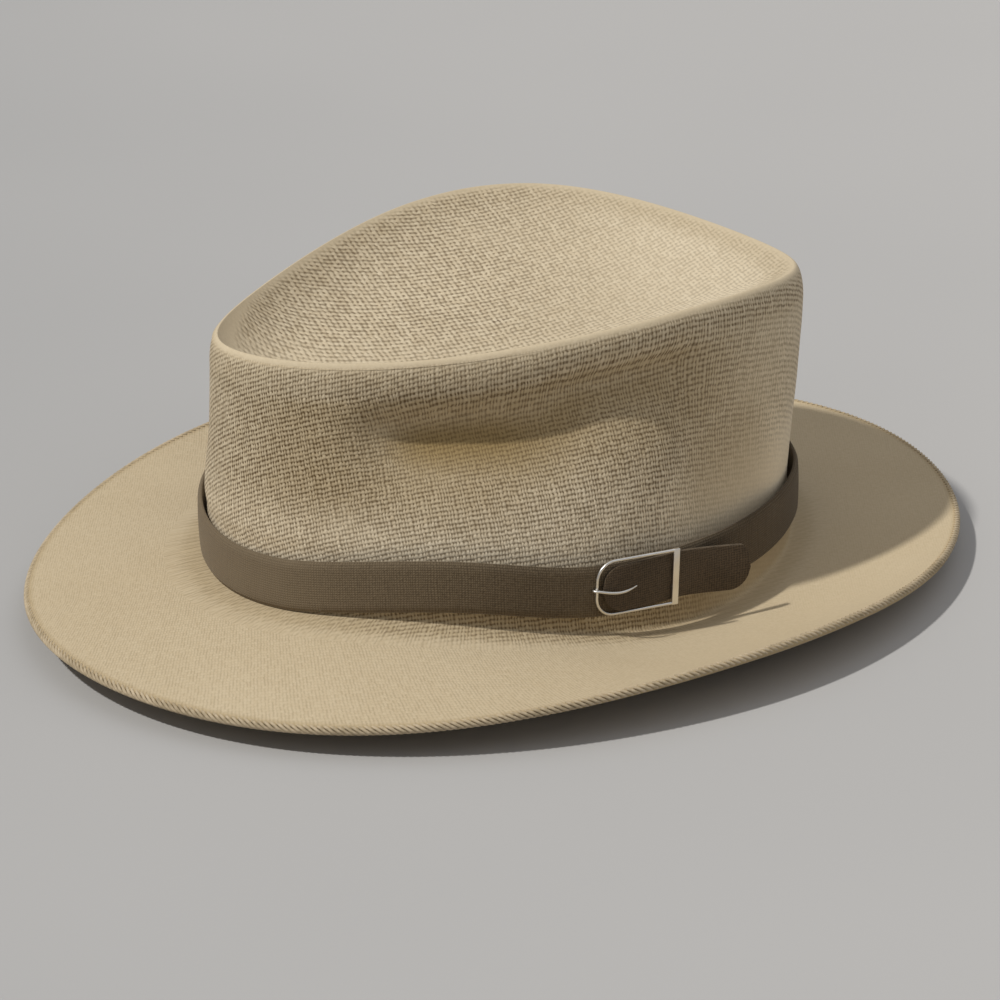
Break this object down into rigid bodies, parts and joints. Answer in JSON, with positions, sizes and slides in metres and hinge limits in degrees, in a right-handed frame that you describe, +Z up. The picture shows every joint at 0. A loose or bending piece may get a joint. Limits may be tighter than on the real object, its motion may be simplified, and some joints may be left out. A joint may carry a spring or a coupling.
{
  "type": "fedora",
  "caption": "Light woven straw fedora with a creased, pinched crown, a snap brim and a dark strap band fastened by a slim metal buckle.",
  "frame": {"origin": "on the surface that the hat rests on, under the middle of its box", "axes": "+Z up, the front of the hat faces -Y, the buckle is on the +X side, which is the wearer's left"},
  "size_m": [0.2748, 0.3231, 0.1051],
  "materials": {
    "hat_body": "matte woven straw",
    "hat_band": "matte fine-woven cloth",
    "band_tail": "matte fine-woven cloth",
    "buckle_frame": "satin metal",
    "buckle_prong": "satin metal"
  },
  "bodies": {
    "root": {"hat_body": "hat_body", "hat_band": "hat_band", "band_tail": "band_tail", "buckle_frame": "buckle_frame", "buckle_prong": "buckle_prong"}
  },
  "joints": []
}
